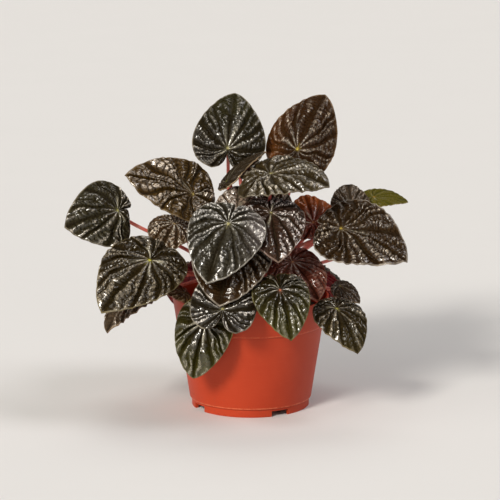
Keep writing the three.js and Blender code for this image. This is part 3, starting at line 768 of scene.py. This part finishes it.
# The leaf's skin: dark valleys, partly painted shade, fleshy ridges with silver on their crests that is
# partly the leaf's own sheen and partly a painted highlight, a pale rim that is partly a painted highlight, a
# yellow-green spot at the junction and a wine-red underside
def leafSkin(name, tone):
    fixed = {
        "Specular IOR Level": 0.12,
        "Specular Tint": (1, 0.78, 0.45, 1),
        "Coat Roughness": 0.15,
        "Coat IOR": 1.8,
    }
    material, shader, wire = newMaterial(name, fixed)
    place = wire.attribute("place")
    crest = wire.attribute("crest")
    offset = wire.attribute("offset")
    underside = wire.attribute("underside")
    where = wire.attribute("leafPoint", "Vector")
    mottle = wire.noise(where, leafFinish["mottleScale"], 3.0)
    grain = wire.noise(where, leafFinish["grainScale"], 2.0)
    speck = wire.noise(where, leafFinish["speckScale"], 1.0)
    warp = wire.noise(where, leafFinish["warpScale"], 2.0)

    # the puffed cells of a ridge, each with its own share of silver and painted highlight, and the furrows
    # between them, darkened with painted shade
    beat = wire.attribute("beat") + (warp - 0.5) * 1.6 + (grain - 0.5) * 0.4
    cell = wire.maths("ABSOLUTE", wire.maths("SINE", beat * math.pi))
    number = wire.maths("FLOOR", beat)
    lot = wire.node("ShaderNodeTexWhiteNoise", {"noise_dimensions": "1D"}, {"W": number}, "Value")
    ripple = wire.attribute("ripple") * crest.ease(0.05, 0.35)
    furrow = ripple * (1 - cell.ease(0.12, 0.60))

    # darker towards the valleys and in the furrows: painted shade in the hollows, in the valleys partly also
    # the leaf's own darker colour
    body = mixColours(wire, tone["deep"], tone["flesh"], crest.ease(0.0, 0.50) * (0.45 + 0.65 * mottle))
    body = body.under(tone["deep"], furrow * leafFinish["furrowShade"])
    body = body.under(tone["deep"], speck.ease(0.48, 0.64) * leafFinish["speckShade"])
    body = body.under(tone["blush"], wire.attribute("blush") * (0.35 + 0.65 * crest) * (0.5 + 0.8 * mottle))
    # silver on the crests, broken into beads and patches: partly the leaf's own silver sheen, partly a
    # painted highlight
    bead = cell.ease(0.40, 0.80) * (0.25 + 0.75 * lot.ease(0.20, 0.65))
    line = (wire.attribute("shine") + (warp - 0.5) * 0.9).ease(0.42, 0.72)
    silverGlintCover = line * (1 - wire.attribute("beads") * (1 - bead))
    silverGlintCover = silverGlintCover * (1 - tone["patches"] * (1 - mottle.ease(0.40, 0.56))) * grain.ease(0.34, 0.50)
    silverGlintCover = silverGlintCover * (1.3 - speck.ease(0.40, 0.62))
    body = body.under(tone["silverAndGlint"], silverGlintCover * tone["silverGlintCover"])
    # pale rays near the junction: partly the ridges' own pale colour, partly a painted glint on their crests
    body = body.under(leafFinish["ray"], wire.attribute("ray") * grain.ease(0.2, 0.5) * 0.9)
    veinLine = offset.ease(0.90, 1.0) * (1 - place.ease(0.45, 1.0)) * mottle.ease(0.40, 0.65)
    body = body.under(leafFinish["vein"], veinLine * leafFinish["veinShade"])
    veinFoot = offset.ease(0.6, 1.0) * (1 - place.ease(0.03, 0.13)) * 0.7
    spot = wire.maths("MAXIMUM", 1 - place.ease(0.012, 0.055), veinFoot)
    body = body.under(tone["spot"], spot * (0.6 + 0.4 * grain))
    # the pale margin, broken up by noise: partly its own pale edge, partly a painted highlight along it
    body = body.under(tone["rim"], place.ease(0.974, 0.993) * mottle.ease(0.25, 0.62))
    below = mixColours(wire, leafFinish["underside"], leafFinish["underVein"], offset.ease(0.86, 1.0) * 0.8)
    below = below.under(leafFinish["underShade"], mottle.ease(0.5, 0.8) * 0.5)
    plug(body.under(below, underside.ease(0.6, 0.9)), shader, "Base Color")

    smoother = leafFinish["valleyRoughness"] - leafFinish["crestRoughness"]
    rough = leafFinish["valleyRoughness"] - smoother * crest
    plug(rough + 0.14 * (grain - 0.5), shader, "Roughness")
    gloss = crest.ease(0.30, 0.85) * (1 - furrow)
    plug((1 - 0.8 * underside) * (0.04 + 0.80 * gloss) * tone["gloss"], shader, "Coat Weight")
    inputs = {"Vector": where, "Scale": leafFinish["pebbleScale"]}
    pebble = wire.node("ShaderNodeTexVoronoi", {"feature": "SMOOTH_F1"}, inputs, "Distance")
    height = cell * ripple * 1.5 - pebble * 1.2 + grain * 1.1
    plug(bump(wire, height, leafFinish["bump"], leafFinish["bumpHeight"]), shader, "Normal")
    return material


# The petioles and the short crown that they grow from
petiole = {
    "crownRadius": 8.2 * mm,
    "crownTop": 74 * mm,
    "crownFoot": 56.3 * mm,
    "crownWidths": [0.70, 1.0, 1.03, 0.95, 1.0, 0.86, 0.62, 0.3],      # in shares of its radius
    "crownHeights": [0, 0.22, 0.5, 0.7, 0.8, 0.9, 0.97, 1.0],          # and of its height
    "crownSides": 36,
    "crownRise": -0.2,           # where the crown stands on the petioles' colour scale
    "sink": 3 * mm,              # how far a petiole starts inside the crown, and below its top
    "startDepth": 6 * mm,
    "lean": 0.3,                 # how far a petiole leans out where it starts
    "canopyHeart": 94 * mm,      # the point on the axis that the petioles arch away from
    "tipRadius": 1.25 * mm,
    "footRadius": 1.65 * mm,
    "junctionGap": 0.4 * mm,
    "sides": 14,
    "step": 1.6 * mm,
    "knuckle": 0.28,             # how much it thickens under the blade
    "red": (0.66, 0.135, 0.100),
    "shade": (0.46, 0.055, 0.045),
    "pale": (0.80, 0.32, 0.25),
    "junction": (0.42, 0.36, 0.10),
    "footBrown": (0.13, 0.05, 0.025),
}


def petioleLine(leaf):
    root, _, along, up, _ = leafAxes(leaf)
    arrival = unit(unit(root - np.array([0, 0, petiole["canopyHeart"]])) + up)
    slant = np.linalg.norm(np.cross(arrival, up))
    gap = blade["thickness"] + petiole["junctionGap"] + petiole["tipRadius"] * slant
    end = root + along * petiole["tipRadius"] - up * gap
    outward = unit(end * [1, 1, 0])
    startLevel = petiole["crownTop"] - petiole["startDepth"]
    start = outward * (petiole["crownRadius"] - petiole["sink"]) + [0, 0, startLevel]
    span = np.linalg.norm(end - start)
    bend = np.array(leaf["bend"], float) * mm
    first = start + unit(petiole["lean"] * outward + [0, 0, 1]) * 0.4 * span + bend
    second = end - arrival * 0.33 * span + bend * 0.5
    steps = max(12, round(span / petiole["step"]))
    t = np.linspace(0, 1, steps + 1)[:, None]
    line = (1 - t)**3 * start + 3 * (1 - t)**2 * t * first + 3 * (1 - t) * t**2 * second + t**3 * end
    into = root + along * 0.4 * mm - up * blade["thickness"] * 0.5
    return np.concatenate([line, [into]])


# A round stem along a line, with its rings kept square to it
def stemTube(line, radii, sides):
    heading = np.gradient(line, axis=0)
    heading /= np.linalg.norm(heading, axis=1)[:, None]
    side = unit(np.cross(heading[0], [0.31, 0.95, 0.05]))
    turns = turnsOf(sides)
    rings = []
    for point, ahead, radius in zip(line, heading, radii):
        side = unit(side - ahead * side.dot(ahead))
        over = np.cross(ahead, side)
        rings.append(point + radius * (np.cos(turns)[:, None] * side + np.sin(turns)[:, None] * over))
    return np.concatenate(rings)


def makePetioles(material):
    points, faces, rise, stems = [], [], [], []
    count = 0
    sides = petiole["sides"]
    for number, leaf in enumerate(leaves.values()):
        line = petioleLine(leaf)
        share = np.linspace(0, 1, len(line))
        taper = petiole["tipRadius"] - petiole["footRadius"]
        radii = petiole["footRadius"] + taper * smoothStep(0, 0.5, share)
        radii = radii * (1 + 0.035 * np.sin(share * 21 + number))
        radii = radii * (1 + petiole["knuckle"] * smoothStep(0.94, 1, share))
        tube = stemTube(line, radii, sides)
        points.append(tube)
        faces += tubeFaces(count, len(line), sides)
        rise.append(np.repeat(share, sides))
        stems.append(np.full(len(tube), number * 0.37))
        count += len(tube)
    dense = np.linspace(0, 1, 26)
    sparse = np.linspace(0, 1, len(petiole["crownWidths"]))
    widths = np.interp(dense, sparse, petiole["crownWidths"])
    heights = np.interp(dense, sparse, petiole["crownHeights"])
    turns = turnsOf(petiole["crownSides"])
    stump = []
    for width, height in zip(widths, heights):
        radius = petiole["crownRadius"] * width * (1 + 0.06 * np.sin(3 * turns + 9 * height) * min(1, width))
        level = petiole["crownFoot"] + (petiole["crownTop"] - petiole["crownFoot"]) * height
        stump.append(ringAt(radius, level, turns))
    points.append(np.concatenate(stump))
    faces += tubeFaces(count, len(stump), len(turns))
    rise.append(np.full(len(points[-1]), petiole["crownRise"]))
    stems.append(np.zeros(len(points[-1])))
    kept = {"rise": np.concatenate(rise), "stem": np.concatenate(stems)}
    piece = newPiece("petioles", np.concatenate(points), faces, kept, material)
    settle(piece, "petiole", "crown")


def petioleSkin():
    fixed = {
        "Specular IOR Level": 0.5,
        "Coat Weight": 0.25,
        "Coat Roughness": 0.2,
        "Subsurface Weight": 0.18,
        "Subsurface Radius": (0.006, 0.002, 0.001),
        "Subsurface Scale": 0.5,
    }
    material, shader, wire = newMaterial("petioleSkin", fixed)
    rise = wire.attribute("rise")
    stem = wire.attribute("stem")
    where = wire.point()
    stretched = wire.node("ShaderNodeMapping", {}, {"Vector": where, "Scale": (900.0, 900.0, 110.0)})
    streak = wire.noise(stretched, 1.0, 3.0)
    speck = wire.noise(where, 900.0, 2.0)
    patch = wire.noise(where, 60.0, 2.0)
    body = mixColours(wire, petiole["red"], petiole["shade"], streak.ease(0.45, 0.75) * 0.7)
    body = body.under(petiole["pale"], patch.ease(0.5, 0.7) * 0.6 + 0.15 * stem.maths("FRACT", stem))
    # darker brown towards the crown and the feet of the petioles
    body = body.under(petiole["footBrown"], (1 - rise.ease(-0.15, 0.16)) * 0.75)
    body = body.under(petiole["junction"], rise.ease(0.95, 1.0) * 0.7)
    plug(body.under(petiole["shade"], speck.ease(0.62, 0.75) * 0.35), shader, "Base Color")
    plug(0.30 + 0.22 * streak, shader, "Roughness")
    plug(bump(wire, streak * 0.7 + speck * 0.3, 0.35, 0.0005), shader, "Normal")
    return material


# The nursery pot: a moulded shell with a deep rim band, a small ledge and a notched foot ring
pot = {
    "height": 79 * mm, "rimRadius": 55 * mm, "rimBandHeight": 20 * mm, "rimLedge": 1 * mm,
    "baseRadius": 42.8 * mm, "wall": 1.6 * mm, "footHeight": 6 * mm, "footOuterRadius": 41.4 * mm,
    "footWidth": 2.4 * mm, "notchAngles": [-60, 30, 120, 210], "notchWidth": 13 * mm,
    "notchHeight": 4 * mm, "padRadius": 12 * mm, "floorTop": 8 * mm, "sides": 192,
    "corner": 0.45 * mm, "lip": 0.7 * mm, "floorCorner": 1.8 * mm,
    "sharpAngle": 32,                # degrees from which an edge isn't shaded smooth
    "colour": (0.455, 0.044, 0.0102), "deep": (0.37, 0.031, 0.0075), "faded": (0.53, 0.080, 0.025),
    "edge": (0.72, 0.20, 0.09),      # painted highlight along the ledge and the foot of the wall
    "scuff": (0.20, 0.045, 0.025),
}


# Rounds the corners of a profile of radius and height with short arcs
def rounded(profile, radius):
    smooth = [profile[0]]
    for before, corner, after in zip(profile, profile[1:], profile[2:]):
        corner = np.array(corner)
        back = np.array(before) - corner
        ahead = np.array(after) - corner
        cut = min(radius, 0.45 * np.linalg.norm(back), 0.45 * np.linalg.norm(ahead))
        start = corner + unit(back) * cut
        end = corner + unit(ahead) * cut
        for t in (0, 0.33, 0.67, 1):
            smooth.append(tuple((1 - t)**2 * start + 2 * (1 - t) * t * corner + t**2 * end))
    smooth.append(profile[-1])
    return smooth


def turnedMesh(profile, sides):
    rows = [ringAt(radius, level, turnsOf(sides)) for radius, level in profile[1:-1]]
    points = np.concatenate([[(0, 0, profile[0][1])], *rows, [(0, 0, profile[-1][1])]])
    return points, bandFaces(1, len(rows), sides) + fanFaces(len(points) - 1, sides)


# The outer radius of the wall at a level, without the rim band
def wallRadius(level):
    taper = (pot["rimRadius"] - pot["rimLedge"] - pot["baseRadius"]) / (pot["height"] - pot["footHeight"])
    return pot["baseRadius"] + taper * (level - pot["footHeight"])


def makePot(material):
    top, foot, base = pot["height"], pot["footHeight"], pot["baseRadius"]
    rim, wall, floorTop, floorCorner = pot["rimRadius"], pot["wall"], pot["floorTop"], pot["floorCorner"]
    ledge = top - pot["rimBandHeight"]
    band = wallRadius(ledge) + pot["rimLedge"]
    footOuter, footInner = pot["footOuterRadius"], pot["footOuterRadius"] - pot["footWidth"]
    profile = [
        (0, 0), (pot["padRadius"], 0), (pot["padRadius"], foot), (footInner, foot), (footInner, 0),
        (footOuter, 0), (footOuter, foot - 0.7 * mm), (base, foot), (wallRadius(ledge), ledge - 0.5 * mm),
        (band, ledge), (rim, top - 0.3 * mm), (rim - pot["lip"], top), (rim - wall, top - 0.2 * mm),
        (band - wall, ledge), (base - wall, floorTop + floorCorner), (base - wall - floorCorner, floorTop),
        (0, floorTop),
    ]
    points, faces = turnedMesh(rounded(profile, pot["corner"]), pot["sides"])
    piece = newPiece("nurseryPot", points, faces, {}, material)
    cutters = []
    for angle in pot["notchAngles"]:
        turn = math.radians(angle - 90)
        bpy.ops.mesh.primitive_cube_add(size=1)
        cutter = bpy.context.object
        height = pot["notchHeight"] + 2 * mm
        cutter.scale = (3 * pot["footWidth"], pot["notchWidth"], height)
        reach = (footOuter + footInner) / 2
        cutter.location = (reach * math.cos(turn), reach * math.sin(turn), pot["notchHeight"] - height / 2)
        cutter.rotation_euler = (0, 0, turn)
        cutters.append(cutter)
    for cutter in cutters:
        cut = piece.modifiers.new("notch", "BOOLEAN")
        cut.object = cutter
        cut.operation = "DIFFERENCE"
        cut.solver = "EXACT"
    bpy.context.view_layer.update()
    cutMesh = bpy.data.meshes.new_from_object(piece.evaluated_get(bpy.context.evaluated_depsgraph_get()))
    piece.modifiers.clear()
    piece.data = cutMesh
    for cutter in cutters:
        bpy.data.objects.remove(cutter)
    cutMesh.shade_smooth()
    cutMesh.set_sharp_from_angle(angle=math.radians(pot["sharpAngle"]))
    settle(piece, "pot_plastic", "pot")


# 1 at a level above the floor, falling to 0 within the given reach
def nearLevel(rise, level, reach):
    return 1 - rise.maths("ABSOLUTE", rise - level).ease(0, reach)


def potSkin():
    fixed = {
        "Specular IOR Level": 0.25,
        "Coat Weight": 0.08,
        "Coat Roughness": 0.35,
        "Subsurface Weight": 0.05,
        "Subsurface Radius": (0.004, 0.0012, 0.0006),
        "Subsurface Scale": 0.6,
    }
    material, shader, wire = newMaterial("pottedPlastic", fixed)
    where = wire.point()
    axes = wire.node("ShaderNodeSeparateXYZ", {}, {0: where}, "Z")
    cloud = wire.noise(where, 22.0, 3.0)
    drag = wire.node("ShaderNodeMapping", {}, {"Vector": where, "Scale": (60.0, 60.0, 900.0)})
    brushed = wire.noise(drag, 1.0, 4.0)
    dust = wire.noise(where, 520.0, 4.0)
    orange = wire.noise(where, 1500.0, 2.0)
    body = mixColours(wire, pot["colour"], pot["deep"], cloud.ease(0.42, 0.75) * 0.4)
    body = body.under(pot["faded"], brushed.ease(0.55, 0.8) * 0.22)
    scuffed = dust.ease(0.60, 0.74) * (1 - axes.ease(0.004, 0.024))
    body = body.under(pot["scuff"], scuffed * 0.55)
    ledge = pot["height"] - pot["rimBandHeight"]
    # painted highlight along the foot of the wall and above the ledge, broken up by the dust noise
    edgeHighlight = nearLevel(axes, pot["footHeight"] + 0.5 * mm, 0.7 * mm) * 0.75
    edgeHighlight = wire.maths("MAXIMUM", edgeHighlight, nearLevel(axes, ledge + 0.4 * mm, 0.6 * mm) * 0.45)
    body = body.under(pot["edge"], edgeHighlight * dust.ease(0.30, 0.60))
    # painted shade in a thin dark line just under the ledge
    body = body.under(pot["deep"], nearLevel(axes, ledge - 0.9 * mm, 0.7 * mm) * 0.55)
    plug(body.under(pot["faded"], dust.ease(0.66, 0.78) * 0.25), shader, "Base Color")
    plug(0.40 + 0.16 * cloud + 0.10 * dust, shader, "Roughness")
    plug(bump(wire, brushed * 0.5 + orange * 0.35 + dust * 0.15, 0.16, 0.0004), shader, "Normal")
    return material


# The potting mix: a lumpy top with crumbs of bark and peat pressed into it
soil = {
    "top": 68 * mm, "foot": 8.3 * mm, "lump": 1.6 * mm, "grit": 1.1 * mm, "crownHole": 8.5 * mm,
    "clearance": 0.9 * mm, "holeDepth": 12 * mm, "shoulder": 3 * mm, "footBend": 12 * mm,
    "rings": 44, "sides": 150, "crumbs": 420, "crumbSize": (0.7 * mm, 2.3 * mm),
    "dark": (0.010, 0.006, 0.004), "brown": (0.050, 0.027, 0.014), "straw": (0.16, 0.10, 0.055),
}


def soilHeight(x, y):
    wave = soil["lump"] * math.sin(310 * x + 1.3) * math.cos(370 * y - 0.4)
    fine = noise.fractal(Vector((x, y, 0.3)) * 260, 1.0, 2.0, 3)
    return soil["top"] + wave * 0.8 + soil["grit"] * fine


def makeSoil(material):
    rng = random.Random(11)
    inset = pot["wall"] + soil["clearance"]
    edge = wallRadius(soil["top"]) - inset
    turns = turnsOf(soil["sides"])
    rows = []
    radii = np.linspace(soil["crownHole"], edge, soil["rings"])
    footEdge = wallRadius(soil["foot"]) - inset - pot["floorCorner"]
    bendEdge = wallRadius(soil["footBend"]) - inset
    shoulder = soil["top"] - soil["shoulder"]
    for radius, level in [(footEdge, soil["foot"]), (bendEdge, soil["footBend"]), (edge, shoulder)]:
        rows.append(ringAt(radius, level, turns))
    for radius in radii[::-1]:
        blend = min(1, (edge - radius) / (1.5 * mm))
        row = []
        for a in turns:
            x, y = radius * math.cos(a), radius * math.sin(a)
            row.append((x, y, soil["top"] + (soilHeight(x, y) - soil["top"]) * blend))
        rows.append(row)
    holeFoot = soil["top"] - soil["holeDepth"]
    rows.append(ringAt(soil["crownHole"], holeFoot, turns))
    points = [(0, 0, soil["foot"])] + [p for row in rows for p in row] + [(0, 0, holeFoot)]
    faces = bandFaces(1, len(rows), soil["sides"]) + fanFaces(len(points) - 1, soil["sides"])
    rough = [0.0] * len(points)
    for _ in range(soil["crumbs"]):
        turn = rng.uniform(0, 2 * math.pi)
        radius = soil["crownHole"] + 2 * mm + (edge - soil["crownHole"] - 5 * mm) * math.sqrt(rng.random())
        x, y = radius * math.cos(turn), radius * math.sin(turn)
        size = rng.uniform(*soil["crumbSize"]) * (1.3 if rng.random() < 0.12 else 1)
        addCrumb(points, faces, rough, Vector((x, y, soilHeight(x, y) + size * 0.15)), size, rng)
    piece = newPiece("pottingMix", np.array(points), faces, {"crumb": rough}, material)
    settle(piece, "soil", "soil")


# One crumb: an uneven lump of 8 by 5 points
def addCrumb(points, faces, rough, centre, size, rng):
    start = len(points)
    around, levels = 8, 5
    squash = Vector((rng.uniform(0.5, 1), rng.uniform(0.4, 0.9), rng.uniform(0.3, 0.6)))
    spin = rng.uniform(0, math.pi)
    tone = rng.random()
    for level in range(levels):
        lift = math.pi * (level + 0.5) / levels
        for k in range(around):
            turn = 2 * math.pi * k / around + spin
            bulge = size * rng.uniform(0.82, 1.12)
            spot = Vector((math.sin(lift) * math.cos(turn), math.sin(lift) * math.sin(turn), -math.cos(lift)))
            points.append(tuple(centre + spot * squash * bulge))
            rough.append(0.1 + 0.9 * tone)
    faces += tubeFaces(start, levels, around)


def soilSkin():
    material, shader, wire = newMaterial("pottingMix", {"Specular IOR Level": 0.2})
    where = wire.point()
    crumb = wire.attribute("crumb")
    clod = wire.noise(where, 210.0, 4.0)
    fibre = wire.noise(where, 1300.0, 3.0)
    body = mixColours(wire, soil["dark"], soil["brown"], clod.ease(0.3, 0.7))
    body = body.under(soil["straw"], crumb.ease(0.72, 1.0) * 0.55 + fibre.ease(0.62, 0.76) * 0.25)
    peat = crumb.ease(0.05, 0.3) * (1 - crumb.ease(0.3, 0.6))
    plug(body.under(soil["dark"], peat * 0.6), shader, "Base Color")
    plug(0.82 + 0.15 * fibre, shader, "Roughness")
    plug(bump(wire, clod * 0.5 + fibre * 0.5, 0.8, 0.0009), shader, "Normal")
    return material


placeCamera()
placeLights()
placeFloor()
print("camera, lights and floor placed")

makePot(potSkin())
makeSoil(soilSkin())
print("pot and potting mix made")

skins = {name: leafSkin(name + "Leaf", tone) for name, tone in tones.items()}
for number, (name, leaf) in enumerate(leaves.items()):
    makeLeaf(name, leaf, skins[leaf["tone"]], 20 + number)
print("leaves made:", len(leaves), "faces:", sum(len(mesh.polygons) for mesh in bpy.data.meshes))

makePetioles(petioleSkin())
print("petioles and crown made")

bpy.context.scene.view_settings.view_transform = "Standard"
bpy.context.scene.view_settings.look = "None"
